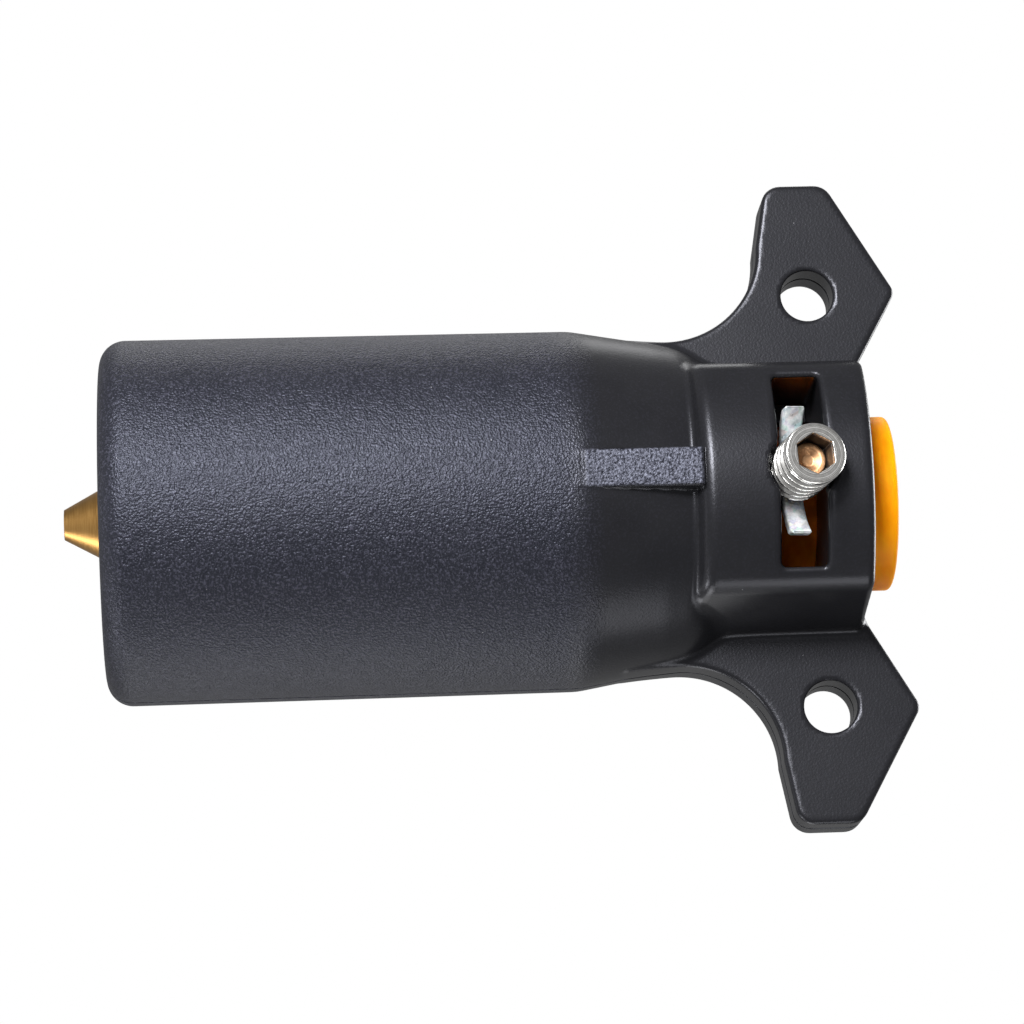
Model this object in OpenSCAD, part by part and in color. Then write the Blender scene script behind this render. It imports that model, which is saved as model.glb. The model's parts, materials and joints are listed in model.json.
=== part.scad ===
// Hotend assembly with a two-part housing, two mounting ears and a set screw over a slot.
// Millimetres. The filament path is the Z axis, nozzle down. The origin is the middle of the
// two ear holes. The ears reach out along X, and the slot and its set screw face -Y.

/* [Housing] */
// Radius of the body at the nozzle end
body_r_front = 18.2; // [17.8:0.1:18.6]
// Radius of the body at the shoulder
body_r_shoulder = 18.05; // [17.8:0.05:18.3]
// Height of the front wall's outer face
front_z = -71.3; // [-72:0.1:-71]
// Height of the shoulder
shoulder_z = -24.6; // [-26:0.1:-24]
// Height of the rear face
rear_z = 3.6; // [3.4:0.1:3.6]
// Wall thickness
wall = 2.4; // [2:0.1:2.4]
// Rounding of the body's front edge
front_edge_r = 2.6; // [1.5:0.1:3]
// Radius of the opening round the nozzle
nozzle_hole_r = 5.2; // [4.6:0.1:5.4]

/* [Neck] */
// Radius where the shoulder's cone ends
neck_cone_r = 16.1; // [15.9:0.1:16.3]
// Height where the cone ends
neck_cone_z = -14; // [-14.5:0.1:-13.8]
// Radius of the neck beside the saddle
neck_r = 13.7; // [13.5:0.1:14]
// Height where the neck reaches that radius
neck_z = -8.5; // [-9:0.1:-8]
// Radius of the neck at the rear face
neck_rear_r = 13.4; // [13.2:0.1:13.5]
// Top of the hollow inside the body
hollow_top_z = -9.5; // [-10:0.1:-9]

/* [Ears] */
// Distance between the two ear holes
ear_hole_spacing = 42.3; // [42:0.1:42.6]
// Diameter of the ear holes
ear_hole_d = 5.3; // [4.4:0.1:5.5]
// Thickness of one layer of an ear
ear_t = 3; // [2.5:0.1:3.2]
// Distance from the axis to the outer edge of an ear
ear_reach = 32.85; // [32.5:0.05:33.2]
// Radius of the concave edge between body and ear
ear_arc_r = 9.7; // [9.5:0.1:9.8]
// Relief between the two layers near the outer edge
ear_relief = 0.3; // [0.1:0.1:0.5]

/* [Saddle] */
// Radius of the saddle's curved face
saddle_r = 17.6; // [17.4:0.1:17.8]
// Half width of the saddle at its face
saddle_face_x = 11.3; // [11:0.1:11.5]
// Half width of the saddle at the ears
saddle_foot_x = 13.9; // [13.8:0.1:14]
// Height of the saddle's lower end
saddle_z = -13.5; // [-13.8:0.1:-13.2]
// Width of the rib between shoulder and saddle
rib_w = 3.9; // [3:0.1:4.5]
// Height of the rib over the axis
rib_y = 17.9; // [17.7:0.05:17.9]
// Width of the slot
slot_w = 4.55; // [4.4:0.05:4.7]
// Length of the slot
slot_l = 19; // [18.5:0.1:19.5]
// Height of the slot's middle
slot_z = -3.3; // [-3.4:0.1:-3.2]

/* [Set screw] */
// Lean of the screw's axis towards the rear
screw_tilt = 8.5; // [7.5:0.5:9]
// Thread radius
screw_r = 3; // [2.9:0.05:3]
// Length of the screw
screw_l = 8; // [7.6:0.1:8]
// Width of the hex socket across flats
socket_af = 3.55; // [3:0.05:3.6]
// Depth of the hex socket
socket_depth = 3.2; // [3:0.1:3.4]
// Length of the spring bar
bar_l = 12.75; // [12:0.05:13]
// Width of the spring bar
bar_w = 2.1; // [1.8:0.1:2.4]

/* [Core] */
// Radius of the insulator in the neck
core_r = 8; // [7.9:0.05:8]
// Radius of the insulator inside the body
core_small_r = 6; // [5.8:0.1:6]
// Radius of the insulator's flange
flange_r = 8.75; // [8.6:0.05:9]
// Height of the flange's rear face
flange_z = 7.2; // [7:0.1:7.4]
// Bore of the filament path
filament_r = 1; // [0.9:0.05:1.1]

/* [Nozzle] */
// Height of the nozzle's tip
tip_z = -75.2; // [-75.4:0.1:-75]
// Radius of the flat tip
tip_r = 1.55; // [1.3:0.05:1.6]
// Width of the hexagon across flats
nozzle_af = 7; // [6:0.5:7]
// Radius of the hole at the tip
tip_hole_r = 0.2; // [0.2:0.05:0.4]

/* [Heater] */
// Radius of the heater block
block_r = 12; // [11.8:0.1:12]
// Height of the block's lower face
block_z0 = -68; // [-68:0.1:-67.9]
// Height of the block's upper face
block_z1 = -48; // [-48:0.1:-47.9]
// Radius of the heater cartridge
heater_r = 3; // [2.9:0.05:3]
// Radius of the cartridge thermistor
therm_r = 1.5; // [1.4:0.05:1.5]

/* [Hidden] */
$fn = 96;
// Steps of a rounded edge
arc_steps = 8;
// Cutting overlap, and the gap left between two separate pieces
eps = 0.5;
gap = 0.05;
// Size of the boxes that cut the housing in half
big = 200;
// Reach of a bore or a screw past the housing's surface
far = 24;
// Centre of the screw's outer face, and the direction of its axis
screw_face = [0, -21.4, -2.57];
// Depths below the screw's face: the thread's end in the housing, the tip's pad, the bar's foot
thread_end = 9;
mouth_end = 5;
mouth_gap = 0.4;
face_edge = 0.25;
end_edge = 0.6;
socket_turn = -4;
pad_l = 0.9;
pad_r = 1.6;
stem_r = 1.2;
rivet_r = 1.7;
rivet_t = 0.6;
foot_top = 10;
foot_end = 14.9;
foot_r = 2.1;
seat_depth = 15;
seat_r = 2.3;
foot_hole_r = 2.5;
// Depth of the slot's floor
slot_floor_y = -4;
// Curve of the bowed spring bar: its inner radius, its centre's depth and its thickness
bow_r = 8.05;
bow_depth = 1.15;
bow_t = 1;
// Heights over the axis where the saddle's side walls start and end
saddle_foot_y = -2;
saddle_face_y = -14;
// Chamfer of the saddle's edges, and how far its lower end sinks into the neck
saddle_edge = 0.5;
lip_in = 0.3;
// Ear outline
ear_hole_x = ear_hole_spacing / 2;
ear_arc_c = [body_r_shoulder + 8.35, -14.6];
ear_side_z = -4.05;
ear_side_r = 1.9;
ear_end_r = 2;
ear_tip = [21.35, 9.0];
ear_tip_r = 1.2;
ear_slope = 0.57;
ear_relief_x = 30.4;
ear_relief_z = [-2.2, 1.6];
ear_low_z = -20;
ear_end_z = ear_tip[1] - (ear_reach - ear_tip[0]) * ear_slope;
ear_root_x = ear_tip[0] - (ear_tip[1] - rear_z) / ear_slope;
// Shell screws
boss_x = 11.8;
boss_r = 3.3;
boss_z = [-42.2, -18.5];
shell_screw_r = 1.3;
shell_screw_tip_y = -6;
screw_gap = 0.03;
head_r = 2.25;
head_t = 2;
head_y = 7;
// Web that carries the core's shoulder
web_z0 = -33.5;
core_step_z = -30;
web_top_gap = 0.2;
web_gap = 0.15;
web_reach_y = 6;
// Front washer, sleeve and cap
washer_t = 0.75;
cap_z0 = -47.5;
cap_t = 1.2;
sleeve_r = body_r_front - wall - 0.2;
// Heat break, core and liner heights
core_end_z = -44;
core_edge = 0.5;
break_top_z = -32.1;
break_neck_z = [-48.1, -45.85];
break_end_z = -60.2;
liner_z0 = break_neck_z[1] + 1.2;
break_r = 3;
break_edge = 0.3;
break_neck_r = 1.8;
break_top_r = 3.45;
liner_r = 1.95;
bush_r = 4.45;
bush_z = 2.2;
bush_top_z = flange_z - 0.2;
bush_edge = 0.2;
bush_bore_r = 1.5;
mouth_l = 2;
mouth_r = 3.2;
// Nozzle heights
cone_z = -71.7;
tip_land = 0.6;
tip_taper = 1.2;
hex_chamfer = 0.45;
hex_top_z = -68.2;
cone_r = 3.4;
tip_edge = 0.1;
hex_edge = 0.2;
hex_r = nozzle_af / 2 + 0.6;
hex_turn = 70;
nozzle_end_z = break_end_z - gap;
// Heater and thermistor places, and the grub screws that hold them
heater_at = [3.6, 6.4];
block_edge = 0.5;
therm_at = [-5.2, 5.2];
therm_z = -60;
grub_r = 1.45;
grub_l = 2.4;
grub_heater_z = -58;
grub_therm_z = -54;
// Terminal header
header_x = 6.4;
header_flange_x = 7.6;
header_z = [-35.8, -29.2];
header_flange_z = [-37, -28];
header_y = [11.4, 13.6, 16.8];
header_cup_y = 13.2;
header_wall = 1;
pin_w = 0.64;
pin_pitch = 2.5;
pin_y = [11.9, 16];
pin_z = -32.5;
// Leads
heater_lead_r = 0.7;
heater_lead_dx = 0.9;
therm_lead_r = 0.4;
therm_lead_dx = 0.55;
lead_end_y = 12.5;
lead_steps = 14;
lead_sides = 10;

function mix(a, b, t) = a + (b - a) * t;
function ease(t) = (1 - cos(180 * t)) / 2;
function unit(v) = v / norm(v);
// Points on an arc about c from angle a to angle b
function arc(c, r, a, b) = [for (i = [0:arc_steps])
    let (t = mix(a, b, i / arc_steps)) c + r * [cos(t), sin(t)]];
function pin_x(i) = (i - 1.5) * pin_pitch;
// Radius of the cone between shoulder and neck at height z
function cone_at(z) = mix(body_r_shoulder, neck_cone_r, (z - shoulder_z) / (neck_cone_z - shoulder_z));

// ---- helpers -----------------------------------------------------------------------------

// A body turned round the Z axis from points [radius, height]
module turned(points) {
    rotate_extrude() polygon(points);
}

// A tube between two heights
module tube(r_out, r_in, z0, z1) {
    translate([0, 0, z0]) difference() {
        cylinder(h = z1 - z0, r = r_out);
        translate([0, 0, -eps]) cylinder(h = z1 - z0 + 2 * eps, r = r_in);
    }
}

// A cylinder along +Y from y0 to y1
module rod_y(r, x, z, y0, y1) {
    translate([x, y0, z]) rotate([-90, 0, 0]) cylinder(h = y1 - y0, r = r);
}

// The screw's own frame: origin in its outer face, +Z along its axis into the housing
module screw_frame() {
    translate(screw_face) rotate([-90 - screw_tilt, 0, 0]) children();
}

// A disc of the screw's frame between two depths
module screw_disc(r, w0, w1) {
    translate([0, 0, w0]) cylinder(h = w1 - w0, r = r);
}

// Box from two corners
module block(a, b) {
    translate(a) cube(b - a);
}

// Bezier route that leaves a along +Z and arrives at b along +Z
function route(a, b) = [for (i = [0:lead_steps])
    let (t = i / lead_steps, k = (b[2] - a[2]) / 3, p = a + [0, 0, k], q = b - [0, 0, k])
    pow(1 - t, 3) * a + 3 * t * pow(1 - t, 2) * p + 3 * t * t * (1 - t) * q + t * t * t * b];

// Round lead swept along a route, with every ring square to it
module lead(path, r) {
    n = len(path);
    dirs = [for (i = [0:n - 1]) unit(path[min(i + 1, n - 1)] - path[max(i - 1, 0)])];
    flat = [for (i = [0:n - 1]) (i == 0 || i == n - 1) ? [0, 0, 1] : dirs[i]];
    rings = [for (i = [0:n - 1]) let (u = unit(cross([0, 1, 0], flat[i])), v = cross(flat[i], u))
        for (j = [0:lead_sides - 1]) let (a = 360 * j / lead_sides)
        path[i] + r * (cos(a) * u + sin(a) * v)];
    sides = [for (i = [0:n - 2]) for (j = [0:lead_sides - 1]) let (k = (j + 1) % lead_sides)
        [i * lead_sides + k, i * lead_sides + j, (i + 1) * lead_sides + j, (i + 1) * lead_sides + k]];
    first = [for (j = [0:lead_sides - 1]) j];
    last = [for (j = [lead_sides - 1:-1:0]) (n - 1) * lead_sides + j];
    polyhedron(points = rings, faces = concat(sides, [first], [last]));
}

// ---- housing -----------------------------------------------------------------------------

// Outer form of body, cone and neck
module body_form() {
    edge = [body_r_front - front_edge_r, front_z + front_edge_r];
    turned(concat(
        [[0, front_z]],
        arc(edge, front_edge_r, -90, 0),
        [[body_r_shoulder, shoulder_z], [neck_cone_r, neck_cone_z]],
        [for (i = [1:6]) [mix(neck_cone_r, neck_r, ease(i / 6)), mix(neck_cone_z, neck_z, i / 6)]],
        [[neck_rear_r, rear_z], [0, rear_z]]));
}

// Outline of one ear in X and Z, from the axis out
module ear_outline() {
    lean = 90 - atan(ear_slope);
    side = [ear_reach - ear_side_r, ear_side_z + ear_side_r];
    end = [ear_reach - ear_end_r, ear_end_z - ear_end_r * (1 / sin(lean) - ear_slope)];
    tip = [ear_tip[0], ear_tip[1] - ear_tip_r / sin(lean)];
    polygon(concat(
        [[0, ear_low_z], [ear_arc_c[0] - ear_arc_r, ear_low_z]],
        arc(ear_arc_c, ear_arc_r, 180, 90),
        arc(side, ear_side_r, -80, 0),
        arc(end, ear_end_r, 0, lean),
        arc(tip, ear_tip_r, lean, 180 - lean),
        [[ear_root_x, rear_z], [0, rear_z]]));
}

// Both ears, as thick as both layers together
module ears() {
    for (s = [0, 1]) mirror([s, 0, 0])
        translate([0, ear_t, 0]) rotate([90, 0, 0]) linear_extrude(height = 2 * ear_t) ear_outline();
}

// Raised saddle block on the front of the neck
module saddle() {
    intersection() {
        turned([[0, saddle_z - lip_in], [cone_at(saddle_z) - lip_in, saddle_z - lip_in],
            [saddle_r - saddle_edge, saddle_z + saddle_edge], [saddle_r, saddle_z + 2 * saddle_edge],
            [saddle_r, rear_z - saddle_edge], [saddle_r - saddle_edge, rear_z], [0, rear_z]]);
        translate([0, 0, saddle_z - 1]) linear_extrude(height = rear_z - saddle_z + 2)
            polygon([[-saddle_foot_x, 0], [-saddle_foot_x, saddle_foot_y], [-saddle_face_x, saddle_face_y],
                [-saddle_face_x, -far], [saddle_face_x, -far], [saddle_face_x, saddle_face_y],
                [saddle_foot_x, saddle_foot_y], [saddle_foot_x, 0]]);
    }
}

// Flat-topped rib from the shoulder to the saddle
module rib() {
    block([-rib_w / 2, -rib_y, shoulder_z - 1], [rib_w / 2, -core_r, saddle_z + 1]);
}

// Hollow of the body before bosses and web
module cavity() {
    turned([[0, front_z + wall], [body_r_front - wall, front_z + wall], [body_r_shoulder - wall, shoulder_z],
        [neck_cone_r - wall, neck_cone_z], [neck_r - wall, hollow_top_z], [0, hollow_top_z]]);
}

// Bosses for the four shell screws, before the bores
module bosses() {
    for (x = [-boss_x, boss_x]) for (z = boss_z) rod_y(boss_r, x, z, -far, far);
}

// Web under the core's shoulder, reaching y_max to the rear
module web(y_max) {
    intersection() {
        tube(far, core_small_r + web_gap, web_z0, core_step_z - web_top_gap);
        block([-big, -big, -big], [big, y_max, big]);
    }
}

// Everything both shells share, cut out of a solid form
module shell_cuts(y_max) {
    difference() {
        cavity();
        bosses();
        web(y_max);
    }
    translate([0, 0, hollow_top_z - eps]) cylinder(h = rear_z - hollow_top_z + 2 * eps, r = core_r + 0.1);
    translate([0, 0, front_z - eps]) cylinder(h = wall + 2 * eps, r = nozzle_hole_r);
    for (x = [-ear_hole_x, ear_hole_x]) rod_y(ear_hole_d / 2, x, 0, -far, far);
}

module front_shell() {
    color([0.13, 0.13, 0.15]) difference() {
        intersection() {
            union() {
                body_form();
                ears();
                saddle();
                rib();
            }
            block([-big, -big, -big], [big, 0, big]);
        }
        shell_cuts(big);
        block([-slot_l / 2, -far, slot_z - slot_w / 2], [slot_l / 2, slot_floor_y, slot_z + slot_w / 2]);
        screw_frame() {
            screw_disc(screw_r + mouth_gap, 0, mouth_end);
            screw_disc(screw_r + screw_gap, 0, thread_end);
            screw_disc(foot_hole_r, 0, seat_depth + 1);
        }
        for (x = [-boss_x, boss_x]) for (z = boss_z)
            rod_y(shell_screw_r + screw_gap, x, z, shell_screw_tip_y - gap, eps);
        for (s = [0, 1]) mirror([s, 0, 0])
            block([ear_relief_x, -ear_relief, ear_relief_z[0]], [far * 2, eps, ear_relief_z[1]]);
    }
}

module rear_shell() {
    color([0.11, 0.11, 0.13]) difference() {
        intersection() {
            union() {
                body_form();
                ears();
            }
            block([-big, 0, -big], [big, big, big]);
        }
        shell_cuts(web_reach_y);
        for (x = [-boss_x, boss_x]) for (z = boss_z) {
            rod_y(shell_screw_r + 2 * gap, x, z, -eps, far);
            rod_y(head_r + 3 * gap, x, z, head_y, far);
        }
        block([-header_x - gap, header_y[0], header_z[0] - gap], [header_x + gap, far, header_z[1] + gap]);
    }
}

// One pan-head screw with a cross recess, head outwards
module shell_screw(x, z) {
    difference() {
        union() {
            rod_y(shell_screw_r, x, z, shell_screw_tip_y, head_y + gap);
            rod_y(head_r, x, z, head_y + gap, head_y + head_t);
        }
        for (a = [0, 90]) translate([x, head_y + head_t, z]) rotate([0, a + 20, 0])
            cube([2.6, 2.2, 0.5], center = true);
    }
}

module shell_screws() {
    color([0.35, 0.36, 0.38]) for (x = [-boss_x, boss_x]) for (z = boss_z) shell_screw(x, z);
}

// ---- filament path -----------------------------------------------------------------------

module insulator_core() {
    bore_h = break_top_z - core_end_z + eps + gap;
    color([0.93, 0.6, 0.05]) difference() {
        turned([[0, core_end_z], [core_small_r - core_edge, core_end_z],
            [core_small_r, core_end_z + core_edge], [core_small_r, core_step_z], [core_r, core_step_z],
            [core_r, rear_z + gap], [flange_r, rear_z + gap], [flange_r, flange_z - core_edge],
            [flange_r - 0.3 * core_edge, flange_z - 0.3 * core_edge],
            [flange_r - core_edge, flange_z], [0, flange_z]]);
        translate([0, 0, core_end_z - eps]) cylinder(h = bore_h, r = break_top_r + gap);
        translate([0, 0, break_top_z]) cylinder(h = bush_z - break_top_z + eps, r = liner_r + gap);
        translate([0, 0, bush_z - gap]) cylinder(h = flange_z, r = bush_r + gap);
        screw_frame() screw_disc(seat_r, 0, seat_depth);
    }
}

module inlet_bush() {
    color([0.75, 0.76, 0.78]) difference() {
        turned([[0, bush_z], [bush_r, bush_z], [bush_r, bush_top_z - bush_edge],
            [bush_r - bush_edge, bush_top_z], [0, bush_top_z]]);
        translate([0, 0, bush_z - eps]) cylinder(h = flange_z, r = bush_bore_r);
        translate([0, 0, bush_top_z - mouth_l])
            cylinder(h = mouth_l + gap, r1 = bush_bore_r, r2 = mouth_r);
    }
}

module ptfe_liner() {
    color([0.96, 0.96, 0.94]) tube(liner_r, filament_r, liner_z0 + gap, bush_z - gap);
}

module heat_break() {
    color([0.7, 0.71, 0.73]) difference() {
        turned([[0, break_end_z], [break_r - break_edge, break_end_z], [break_r, break_end_z + break_edge],
            [break_r, break_neck_z[0]], [break_neck_r, break_neck_z[0]],
            [break_neck_r, break_neck_z[1]], [break_top_r, break_neck_z[1]],
            [break_top_r, break_top_z - break_edge], [break_top_r - break_edge, break_top_z],
            [0, break_top_z]]);
        translate([0, 0, break_end_z - eps]) cylinder(h = far, r = filament_r);
        translate([0, 0, liner_z0]) cylinder(h = far, r = liner_r + gap);
    }
}

module nozzle() {
    color([0.85, 0.62, 0.25]) difference() {
        union() {
            turned([[0, tip_z], [tip_r - tip_edge, tip_z], [tip_r, tip_z + tip_edge], [cone_r, cone_z],
                [cone_r, hex_top_z], [break_r, hex_top_z], [break_r, nozzle_end_z - break_edge],
                [break_r - break_edge, nozzle_end_z], [0, nozzle_end_z]]);
            intersection() {
                translate([0, 0, cone_z]) rotate(hex_turn)
                    cylinder(h = hex_top_z - cone_z, r = nozzle_af / 2 / cos(30), $fn = 6);
                turned([[0, cone_z], [nozzle_af / 2 - hex_edge, cone_z], [hex_r, cone_z + hex_chamfer],
                    [hex_r, hex_top_z - hex_edge], [nozzle_af / 2, hex_top_z], [0, hex_top_z]]);
            }
        }
        translate([0, 0, tip_z - eps]) cylinder(h = tip_land + 2 * eps, r = tip_hole_r);
        translate([0, 0, tip_z + tip_land]) cylinder(h = tip_taper, r1 = tip_hole_r, r2 = filament_r);
        translate([0, 0, tip_z + tip_land + tip_taper]) cylinder(h = far, r = filament_r);
    }
}

// ---- heater ------------------------------------------------------------------------------

module heater_block() {
    color([0.78, 0.79, 0.8]) difference() {
        turned([[0, block_z0], [block_r - block_edge, block_z0], [block_r, block_z0 + block_edge],
            [block_r, block_z1 - block_edge], [block_r - block_edge, block_z1], [0, block_z1]]);
        translate([0, 0, block_z0 - eps]) cylinder(h = block_z1 - block_z0 + 2 * eps, r = break_r + gap);
        translate([heater_at[0], heater_at[1], block_z0 + 0.6]) cylinder(h = 30, r = heater_r + gap);
        translate([therm_at[0], therm_at[1], therm_z - 0.1]) cylinder(h = 30, r = therm_r + gap);
        translate([heater_at[0], heater_at[1], grub_heater_z]) rotate([0, 90, 0])
            cylinder(h = far, r = grub_r + gap);
        translate([therm_at[0], therm_at[1], grub_therm_z]) rotate([0, -90, 0])
            cylinder(h = far, r = grub_r + gap);
    }
}

module heater_cartridge() {
    color([0.6, 0.61, 0.63]) translate([heater_at[0], heater_at[1], block_z0 + 0.7])
        cylinder(h = block_z1 - block_z0 - 0.7, r = heater_r);
}

module thermistor() {
    color([0.66, 0.67, 0.69]) translate([therm_at[0], therm_at[1], therm_z])
        cylinder(h = block_z1 - therm_z, r = therm_r);
}

// M3 grub screw with a hex socket, along +Z
module grub_screw() {
    difference() {
        cylinder(h = grub_l, r = grub_r);
        translate([0, 0, grub_l - 1.4]) cylinder(h = 2, r = 0.86, $fn = 6);
    }
}

module block_grub_screws() {
    color([0.2, 0.2, 0.21]) {
        translate([heater_at[0] + heater_r + gap, heater_at[1], grub_heater_z]) rotate([0, 90, 0])
            grub_screw();
        translate([therm_at[0] - therm_r - gap, therm_at[1], grub_therm_z]) rotate([0, -90, 0]) grub_screw();
    }
}

module front_washer() {
    z0 = front_z + wall + gap;
    color([0.85, 0.84, 0.78]) tube(sleeve_r - 0.3, nozzle_hole_r + 0.1, z0, z0 + washer_t);
}

module insulation_sleeve() {
    color([0.92, 0.9, 0.84]) tube(sleeve_r, block_r + 0.1, block_z0, cap_z0 - 0.1);
}

module sleeve_cap() {
    color([0.92, 0.9, 0.84]) difference() {
        tube(sleeve_r, break_r + 0.2, cap_z0, cap_z0 + cap_t);
        translate([heater_at[0], heater_at[1], cap_z0 - eps]) cylinder(h = 3, r = 2.6);
        translate([therm_at[0], therm_at[1], cap_z0 - eps]) cylinder(h = 3, r = 1.7);
    }
}

// ---- wiring ------------------------------------------------------------------------------

module heater_leads() {
    color([0.8, 0.15, 0.1]) for (s = [-1, 1]) lead(route(
        [heater_at[0] + s * heater_lead_dx, heater_at[1], block_z1 + gap],
        [pin_x(2.5 + s / 2), lead_end_y, header_flange_z[0] - gap]), heater_lead_r);
}

module thermistor_leads() {
    color([0.9, 0.9, 0.88]) for (s = [-1, 1]) lead(route(
        [therm_at[0] + s * therm_lead_dx, therm_at[1], block_z1 + gap],
        [pin_x(0.5 + s / 2), lead_end_y, header_flange_z[0] - gap]), therm_lead_r);
}

module terminal_header() {
    color([0.9, 0.88, 0.8]) difference() {
        union() {
            block([-header_flange_x, header_y[0], header_flange_z[0]],
                [header_flange_x, header_y[1], header_flange_z[1]]);
            block([-header_x, header_y[0], header_z[0]], [header_x, header_y[2], header_z[1]]);
        }
        block([-header_x + header_wall, header_cup_y, header_z[0] + header_wall],
            [header_x - header_wall, header_y[2] + 1, header_z[1] - header_wall]);
        for (i = [0:3]) block([pin_x(i) - pin_w / 2 - gap, pin_y[0] - gap, pin_z - pin_w / 2 - gap],
            [pin_x(i) + pin_w / 2 + gap, header_cup_y + 1, pin_z + pin_w / 2 + gap]);
    }
}

module header_pins() {
    color([0.88, 0.72, 0.3]) for (i = [0:3])
        block([pin_x(i) - pin_w / 2, pin_y[0], pin_z - pin_w / 2],
            [pin_x(i) + pin_w / 2, pin_y[1], pin_z + pin_w / 2]);
}

// ---- clamp -------------------------------------------------------------------------------

// Bowed spring bar under the set screw, with a round foot that locks the core
module clamp_bar() {
    color([0.82, 0.85, 0.87]) screw_frame() {
        intersection() {
            translate([0, bar_w / 2, bow_depth]) rotate([90, 0, 0]) difference() {
                cylinder(h = bar_w, r = bow_r + bow_t);
                translate([0, 0, -eps]) cylinder(h = bar_w + 2 * eps, r = bow_r);
            }
            block([-bar_l / 2, -bar_w, bow_depth], [bar_l / 2, bar_w, far]);
        }
        screw_disc(foot_r, foot_top, foot_end);
    }
}

// Brass swivel tip: pad, stem through the screw, and riveted head in the socket
module pressure_tip() {
    color([0.78, 0.5, 0.24]) screw_frame() difference() {
        union() {
            screw_disc(rivet_r, socket_depth - rivet_t, socket_depth - gap);
            screw_disc(stem_r, socket_depth - rivet_t, screw_l + gap + pad_l);
            screw_disc(pad_r, screw_l + gap, screw_l + gap + pad_l);
        }
        translate([0, 0, socket_depth - rivet_t - gap]) cylinder(h = rivet_t, r1 = rivet_r - 0.1, r2 = 0.1);
    }
}

module set_screw() {
    color([0.75, 0.75, 0.76]) screw_frame() difference() {
        turned([[0, 0], [screw_r - face_edge, 0], [screw_r, face_edge], [screw_r, screw_l - end_edge],
            [screw_r - end_edge, screw_l], [0, screw_l]]);
        translate([0, 0, -eps]) rotate(socket_turn)
            cylinder(h = socket_depth + eps, r = socket_af / 2 / cos(30), $fn = 6);
        screw_disc(stem_r + gap, 0, screw_l + 1);
    }
}

front_shell();
rear_shell();
shell_screws();
insulator_core();
inlet_bush();
ptfe_liner();
heat_break();
heater_block();
heater_cartridge();
thermistor();
block_grub_screws();
nozzle();
front_washer();
insulation_sleeve();
sleeve_cap();
heater_leads();
thermistor_leads();
terminal_header();
header_pins();
clamp_bar();
pressure_tip();
set_screw();
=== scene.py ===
import json
import math
import bpy
import numpy as np
from mathutils import Matrix, Vector


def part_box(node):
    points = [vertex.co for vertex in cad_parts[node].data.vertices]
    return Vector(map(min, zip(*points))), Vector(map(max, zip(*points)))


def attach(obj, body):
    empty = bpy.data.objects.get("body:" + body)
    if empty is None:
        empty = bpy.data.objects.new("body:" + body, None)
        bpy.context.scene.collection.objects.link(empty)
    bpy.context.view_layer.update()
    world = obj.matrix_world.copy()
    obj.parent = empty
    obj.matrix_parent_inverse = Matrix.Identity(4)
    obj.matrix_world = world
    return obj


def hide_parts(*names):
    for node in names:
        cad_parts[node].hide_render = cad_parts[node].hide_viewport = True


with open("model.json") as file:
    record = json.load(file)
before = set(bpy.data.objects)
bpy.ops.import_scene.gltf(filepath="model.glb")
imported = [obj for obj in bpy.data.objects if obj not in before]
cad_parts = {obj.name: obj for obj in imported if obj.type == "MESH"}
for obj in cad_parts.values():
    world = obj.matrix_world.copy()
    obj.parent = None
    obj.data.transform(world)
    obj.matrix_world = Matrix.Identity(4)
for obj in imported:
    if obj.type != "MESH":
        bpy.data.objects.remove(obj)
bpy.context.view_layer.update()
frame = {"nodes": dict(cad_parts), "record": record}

# ---- sizes, in millimetres, in the CAD frame ------------------------------------------------
MM = 0.001


def mm_box(node):
    """A node's corners at rest, in millimetres."""
    lo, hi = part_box(node)
    return np.array(lo) / MM, np.array(hi) / MM


SHELL_LO, SHELL_HI = mm_box("front_shell")
REAR_LO, REAR_HI = mm_box("rear_shell")
CORE_LO, CORE_HI = mm_box("insulator_core")
NOZZLE_LO, NOZZLE_HI = mm_box("nozzle")

FRONT_Z = SHELL_LO[2]
REAR_Z = 3.6
BODY_R = 18.2
WALL = 2.4
FRONT_EDGE_R = 2.6
NECK_KNOTS = [(-80, 18.23), (-24.6, 18.05), (-20.3, 17.3), (-16.5, 16.65), (-13.9, 16.05), (-12.7, 15.5),
              (-11.6, 14.75), (-10.5, 14.1), (-9.4, 13.8), (-6, 13.6), (3.6, 13.4), (12, 13.2)]
EAR_T = 3.0
EAR_HOLE_X = 21.15
EAR_HOLE_R = 2.65
EAR_REACH = SHELL_HI[0]
SADDLE_R = 17.6
SLOT_HALF = (9.5, 2.275)
SLOT_Z = -3.3
RIB_HALF = 1.95
RIB_Y = 17.9
BOSS_X = 11.8
BOSS_Z = (-42.2, -18.5)
SCREW_JOINT = next(j for j in frame["record"]["behaviour"]["joints"] if j["name"] == "screw_turn")
SCREW_FACE = np.array(SCREW_JOINT["pos_m"]) / MM
SCREW_TILT = math.asin(-SCREW_JOINT["axis"][2])
SCREW_R = 3.0
SCREW_L = 8.0
PITCH = 1.25
SOCKET_AF = 3.55
SOCKET_DEPTH = 3.2
SOCKET_TURN = math.radians(34)
# Depths below the screw's face: mouth and thread in the housing, foot of the spring bar, seat in the core
MOUTH_END = 5.0
THREAD_END = 9.0
FOOT_TOP = 9.9
FOOT_END = 14.9
SEAT_END = 15.0
# Bowed spring bar: half length and width, its curve's centre, inner radius and thickness
BAR_HALF = (6.375, 1.05)
BOW_DEPTH = 1.15
BOW_R = 8.05
BOW_T = 1.0


# ---- signed distance helpers ----------------------------------------------------------------
def rmax(a, b, r):
    """Intersection of two fields with a rounded edge of radius r."""
    if r <= 0:
        return np.maximum(a, b)
    return np.minimum(-r, np.maximum(a, b)) + np.hypot(np.maximum(a + r, 0), np.maximum(b + r, 0))


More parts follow.
